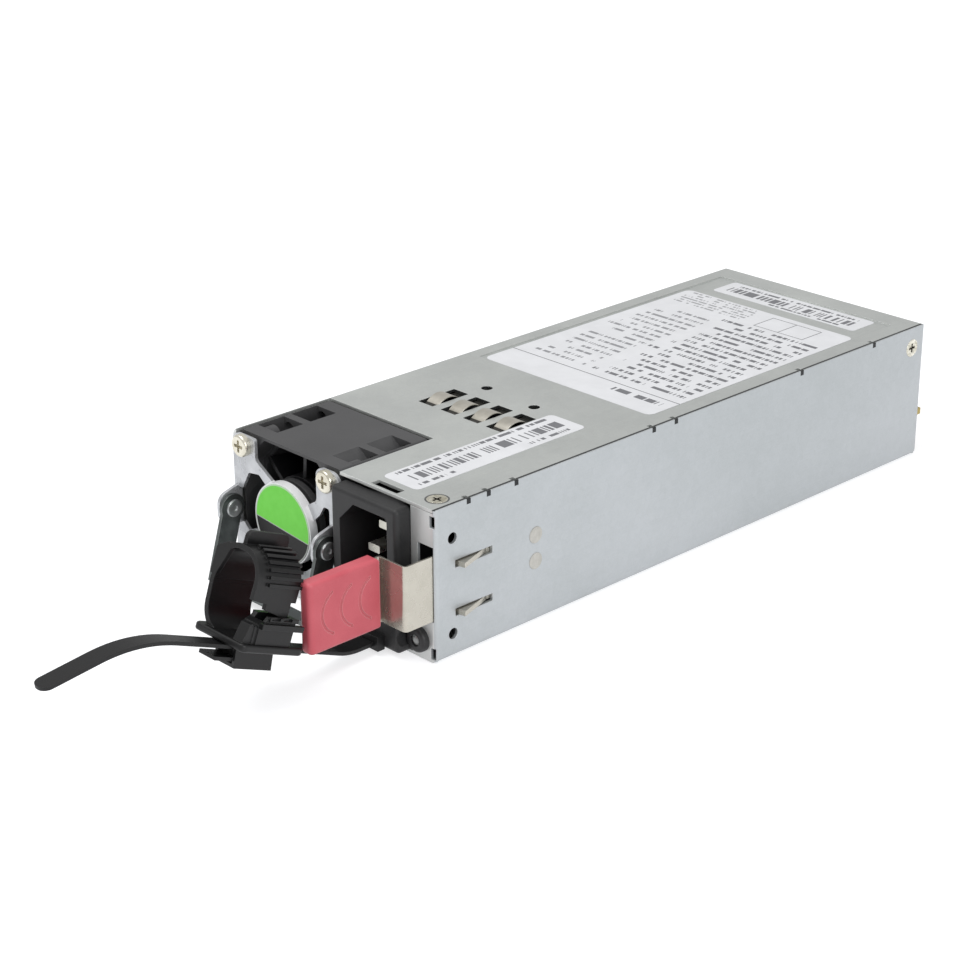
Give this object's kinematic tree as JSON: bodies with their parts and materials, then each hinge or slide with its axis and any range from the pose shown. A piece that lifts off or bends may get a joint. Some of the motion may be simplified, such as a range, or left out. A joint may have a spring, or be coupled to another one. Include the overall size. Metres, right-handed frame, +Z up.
{
  "type": "hot swap server power supply",
  "caption": "Slim steel server power supply module with front fan, mains inlet, pull bail, red release latch, cord clamp and a rear card edge.",
  "frame": {"origin": "middle of the case's bottom face", "axes": "+Y runs from the fan and inlet end to the card edge, +Z is up, +X is to the right seen from the front"},
  "size_m": [0.0756, 0.2903, 0.0399],
  "materials": {
    "galvanised_case": "fine spangled zinc, satin",
    "zinc_guard": "zinc plated, satin",
    "dark_steel": "dark passivated steel, satin",
    "nickel_steel": "nickel plated, semi bright",
    "fan_plastic": "moulded glass filled plastic, matte",
    "moulded_black": "moulded nylon, matte",
    "lens_clear": "clear moulded lens",
    "red_plastic": "moulded plastic, semi gloss",
    "circuit_board": "green solder mask, semi gloss",
    "gold_plating": "gold plated",
    "bearing_brass": "sintered bronze",
    "copper_winding": "enamelled copper wire",
    "ferrite": "sintered ferrite",
    "capacitor_sleeve": "shrink sleeve, gloss",
    "film_box": "yellow moulded box",
    "fuse_glass": "glass tube",
    "heat_sink_alloy": "extruded, satin",
    "insulator_film": "aramid film"
  },
  "bodies": {
    "supply": {"board_screws": "nickel_steel", "boost_choke": "copper_winding", "bridge_rectifier": "moulded_black", "bulk_capacitors": "capacitor_sleeve", "card_fingers": "gold_plating", "chassis_tray": "galvanised_case", "control_board": "circuit_board", "cover_screws": "nickel_steel", "earth_pin": "nickel_steel", "fan_bearing": "bearing_brass", "fan_frame": "fan_plastic", "fan_guard": "zinc_guard", "fan_screws": "nickel_steel", "fan_stator": "copper_winding", "filter_capacitor": "film_box", "filter_choke": "copper_winding", "fuse": "fuse_glass", "ground_springs": "nickel_steel", "handle_rivets": "nickel_steel", "inlet_housing": "moulded_black", "insulator_sheet": "insulator_film", "ladder_strap": "moulded_black", "latch_foot": "nickel_steel", "latch_welds": "nickel_steel", "led_bezel": "moulded_black", "led_lens": "lens_clear", "line_pin": "nickel_steel", "main_board": "circuit_board", "main_transformer": "ferrite", "neutral_pin": "nickel_steel", "output_capacitors": "capacitor_sleeve", "power_transistors": "moulded_black", "primary_heat_sink": "heat_sink_alloy", "relay": "moulded_black", "resonant_choke": "ferrite", "secondary_heat_sink": "heat_sink_alloy", "standoffs": "nickel_steel", "strap_anchor": "moulded_black", "top_cover": "galvanised_case"},
    "rotor": {"fan_rotor": "fan_plastic", "fan_shaft": "nickel_steel", "rotor_magnet": "ferrite"},
    "bail": {"handle_bail": "dark_steel"},
    "latch": {"latch_spring": "nickel_steel", "latch_tab": "red_plastic"},
    "clamp": {"clamp_base": "moulded_black"},
    "band": {"clamp_ring": "moulded_black"}
  },
  "joints": [
    {"name": "fan_spin", "type": "hinge", "parent": "supply", "child": "rotor", "pos_m": [-0.01565, -0.0785, 0.01985], "axis": [0, 1, 0], "continuous": true},
    {"name": "handle_swing", "type": "hinge", "parent": "supply", "child": "bail", "pos_m": [-0.01565, -0.0964, 0.0194], "axis": [1, 0, 0], "range_deg": [-150, 9]},
    {"name": "latch_press", "type": "hinge", "parent": "supply", "child": "latch", "pos_m": [0.03555, -0.0635, 0.01915], "axis": [0, 0, -1], "range_deg": [0, 6.2], "stiffness_Nm_per_rad": 1},
    {"name": "clamp_slide", "type": "slide", "parent": "supply", "child": "clamp", "axis": [0, -0.9239, 0.3827], "range_m": [0, 0.008]},
    {"name": "clamp_close", "type": "hinge", "parent": "clamp", "child": "band", "pos_m": [0.0113, -0.12945, 0.02531], "axis": [0, 0.9239, -0.3827], "range_deg": [-35, 12], "stiffness_Nm_per_rad": 0.02}
  ]
}
